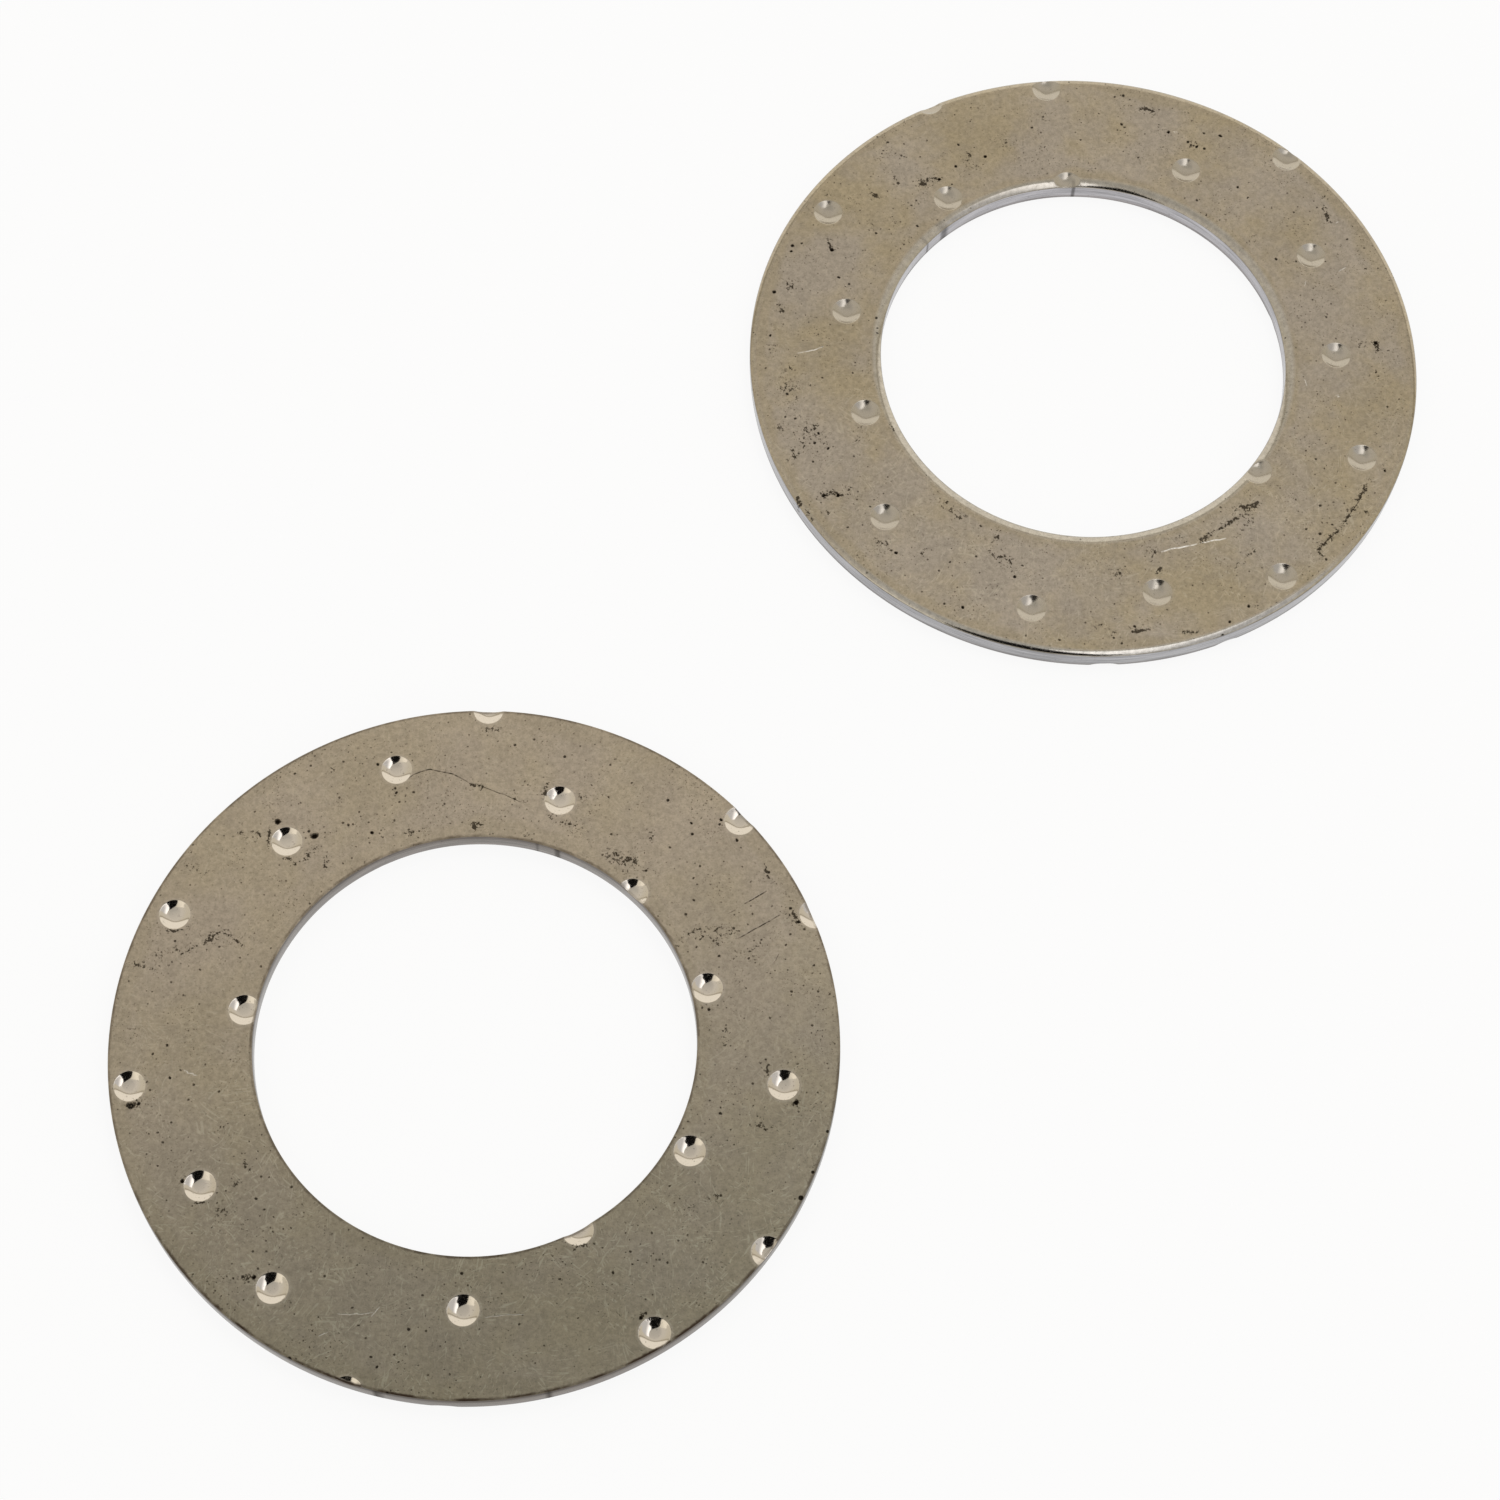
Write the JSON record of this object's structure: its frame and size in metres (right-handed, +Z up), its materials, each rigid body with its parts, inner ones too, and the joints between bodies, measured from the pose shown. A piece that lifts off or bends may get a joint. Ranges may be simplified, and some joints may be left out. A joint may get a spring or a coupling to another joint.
{
  "type": "thrust washer pair",
  "caption": "Flat stamped steel rings with oil dimples that take end thrust between a turning part and its housing.",
  "frame": {"origin": "on the surface that both washers lie on, midway between the two bores", "axes": "+Z up, along both bore axes; the right washer lies towards +X and +Y, the left one towards -X and -Y"},
  "size_m": [0.1102, 0.1274, 0.002],
  "materials": {
    "left_steel": "satin stamped steel with fine pits and scratches",
    "right_steel": "satin stamped steel with light yellow-brown stains"
  },
  "bodies": {
    "root": {"left_washer": "left_steel", "right_washer": "right_steel"}
  },
  "joints": []
}
